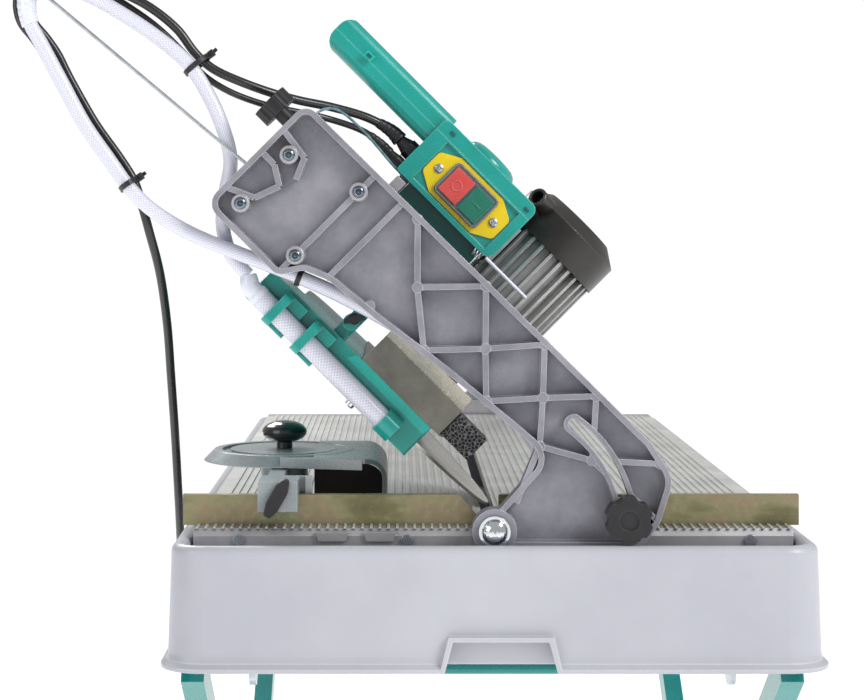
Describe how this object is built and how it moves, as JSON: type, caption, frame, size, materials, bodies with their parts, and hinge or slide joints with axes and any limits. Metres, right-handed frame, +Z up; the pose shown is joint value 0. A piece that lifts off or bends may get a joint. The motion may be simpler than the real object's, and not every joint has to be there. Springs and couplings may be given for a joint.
{
  "type": "tile cutter",
  "caption": "Overhead bridge wet saw for tiles: a water tank with a slotted table on a folding stand, and a tilting bridge that carries the motor and blade.",
  "frame": {"origin": "on the floor under the middle of the machine's box", "axes": "+X across the table to the operator's right, +Y back along the cut, +Z up"},
  "size_m": [0.708, 1.162, 1.227],
  "materials": {
    "tank_plastic": "satin",
    "black_plastic": "satin",
    "rubber_black": "matte",
    "table_alloy": "brushed",
    "bar_alloy": "satin",
    "zinc_steel": "satin",
    "chrome": "polished",
    "fence_zinc": "passivated",
    "cast_alloy": "cast",
    "motor_alloy": "cast",
    "teal_paint": "gloss",
    "teal_plastic": "gloss",
    "blade_steel": "satin",
    "stainless": "brushed",
    "hose_plastic": "translucent",
    "cable_black": "satin",
    "yellow_plastic": "satin",
    "grey_plastic": "satin",
    "red_plastic": "satin",
    "green_plastic": "satin",
    "foam": "open cell",
    "stop_zinc": "satin"
  },
  "bodies": {
    "base": {"water_tank": "tank_plastic", "drain_plug": "rubber_black", "pump": "black_plastic", "table": "table_alloy", "front_crossbar": "bar_alloy", "rear_crossbar": "bar_alloy", "crossbar_screws": "zinc_steel", "tilt_lugs": "zinc_steel", "tilt_bolts": "chrome", "fence": "fence_zinc", "stand_brackets": "zinc_steel", "mains_coil": "cable_black", "mains_plug": "black_plastic"},
    "outer_frame": {"outer_legs": "teal_paint", "outer_tubes": "teal_paint", "centre_bolts": "zinc_steel"},
    "inner_frame": {"inner_legs": "teal_paint", "inner_tubes": "teal_paint"},
    "front_clamp": {"front_tilt_knob": "black_plastic"},
    "rear_clamp": {"rear_tilt_knob": "black_plastic"},
    "bridge": {"front_arm": "cast_alloy", "rear_arm": "cast_alloy", "beam": "bar_alloy", "arm_screws": "zinc_steel", "whip_rod": "zinc_steel", "hose_a": "hose_plastic", "hose_b": "hose_plastic", "mains_upper": "cable_black", "mains_lower": "cable_black", "pump_lead_upper": "cable_black", "pump_lead_lower": "cable_black"},
    "carriage_lock": {"lock_knob": "black_plastic"},
    "head": {"carriage": "teal_paint", "roller_axles": "zinc_steel", "head_casting": "cast_alloy", "motor_body": "motor_alloy", "motor_end_bell": "motor_alloy", "fan_cover": "black_plastic", "blade_guard": "teal_paint", "guard_clips": "teal_plastic", "guard_hose": "hose_plastic", "splash_plate": "stainless", "sponge": "foam", "housing": "teal_plastic", "housing_cover": "teal_plastic", "housing_screws": "zinc_steel", "switch_plate": "yellow_plastic", "switch_frame": "grey_plastic", "cable_glands": "black_plastic"},
    "front_roller_pair": {"front_rollers": "black_plastic"},
    "rear_roller_pair": {"rear_rollers": "black_plastic"},
    "spindle": {"motor_shaft": "zinc_steel", "blade": "blade_steel", "blade_flanges": "zinc_steel"},
    "stop_key": {"stop_button": "red_plastic"},
    "start_key": {"start_button": "green_plastic"},
    "stop_slide": {"protractor_saddle": "zinc_steel"},
    "stop_disc": {"protractor": "stop_zinc"},
    "disc_clamp": {"protractor_knob": "black_plastic"},
    "slide_clamp": {"clamp_lever": "black_plastic"}
  },
  "joints": [
    {"name": "stand_fold", "type": "hinge", "parent": "base", "child": "outer_frame", "pos_m": [0, -0.495, 0.608], "axis": [1, 0, 0], "range_deg": [0, 31]},
    {"name": "stand_scissor", "type": "hinge", "parent": "outer_frame", "child": "inner_frame", "pos_m": [0, -0.065, 0.3115], "axis": [1, 0, 0], "range_deg": [-62, 0]},
    {"name": "bridge_tilt", "type": "hinge", "parent": "base", "child": "bridge", "pos_m": [0.071, 0, 0.735], "axis": [0, 1, 0], "range_deg": [0, 45], "deforming": ["hose_b", "mains_lower", "pump_lead_lower"]},
    {"name": "head_slide", "type": "slide", "parent": "bridge", "child": "head", "axis": [0, 1, 0], "range_m": [0, 0.68], "deforming": ["hose_a", "mains_upper", "pump_lead_upper"]},
    {"name": "front_roller_spin", "type": "hinge", "parent": "head", "child": "front_roller_pair", "pos_m": [-0.0777, -0.465, 1.0025], "axis": [0.7071, 0, 0.7071], "continuous": true},
    {"name": "rear_roller_spin", "type": "hinge", "parent": "head", "child": "rear_roller_pair", "pos_m": [-0.0777, -0.225, 1.0025], "axis": [0.7071, 0, 0.7071], "continuous": true},
    {"name": "blade_spin", "type": "hinge", "parent": "head", "child": "spindle", "pos_m": [-0.01527, -0.347, 0.82127], "axis": [0.7071, 0, 0.7071], "continuous": true},
    {"name": "stop_press", "type": "slide", "parent": "head", "child": "stop_key", "axis": [0, 1, 0], "range_m": [0, 0.002], "stiffness_N_per_m": 600, "springref_m": -0.002},
    {"name": "start_press", "type": "slide", "parent": "head", "child": "start_key", "axis": [0, 1, 0], "range_m": [0, 0.002], "stiffness_N_per_m": 600, "springref_m": -0.002},
    {"name": "lock_knob_turn", "type": "hinge", "parent": "bridge", "child": "carriage_lock", "pos_m": [-0.11073, -0.535, 1.09067], "axis": [-0.7071, 0, 0.7071], "continuous": true},
    {"name": "front_knob_turn", "type": "hinge", "parent": "base", "child": "front_clamp", "pos_m": [0.18338, -0.558, 0.74681], "axis": [0, 1, 0], "continuous": true},
    {"name": "rear_knob_turn", "type": "hinge", "parent": "base", "child": "rear_clamp", "pos_m": [0.18338, 0.558, 0.74681], "axis": [0, 1, 0], "continuous": true},
    {"name": "stop_along_fence", "type": "slide", "parent": "base", "child": "stop_slide", "axis": [1, 0, 0], "range_m": [-0.02, 0.015]},
    {"name": "stop_swivel", "type": "hinge", "parent": "stop_slide", "child": "stop_disc", "pos_m": [-0.117, -0.365, 0.775], "axis": [0, 0, 1], "range_deg": [-45, 45]},
    {"name": "disc_knob_turn", "type": "hinge", "parent": "stop_slide", "child": "disc_clamp", "pos_m": [-0.117, -0.365, 0.789], "axis": [0, 0, 1], "continuous": true},
    {"name": "clamp_lever_turn", "type": "hinge", "parent": "stop_slide", "child": "slide_clamp", "pos_m": [-0.114, -0.5327, 0.762], "axis": [0, 1, 0], "range_deg": [-45, 90]}
  ],
  "couplings": [
    {"joint": "stand_scissor", "follows": "stand_fold", "ratio": -2},
    {"joint": "front_roller_spin", "follows": "head_slide", "rad_per_m": -71.429},
    {"joint": "rear_roller_spin", "follows": "head_slide", "rad_per_m": -71.429}
  ]
}
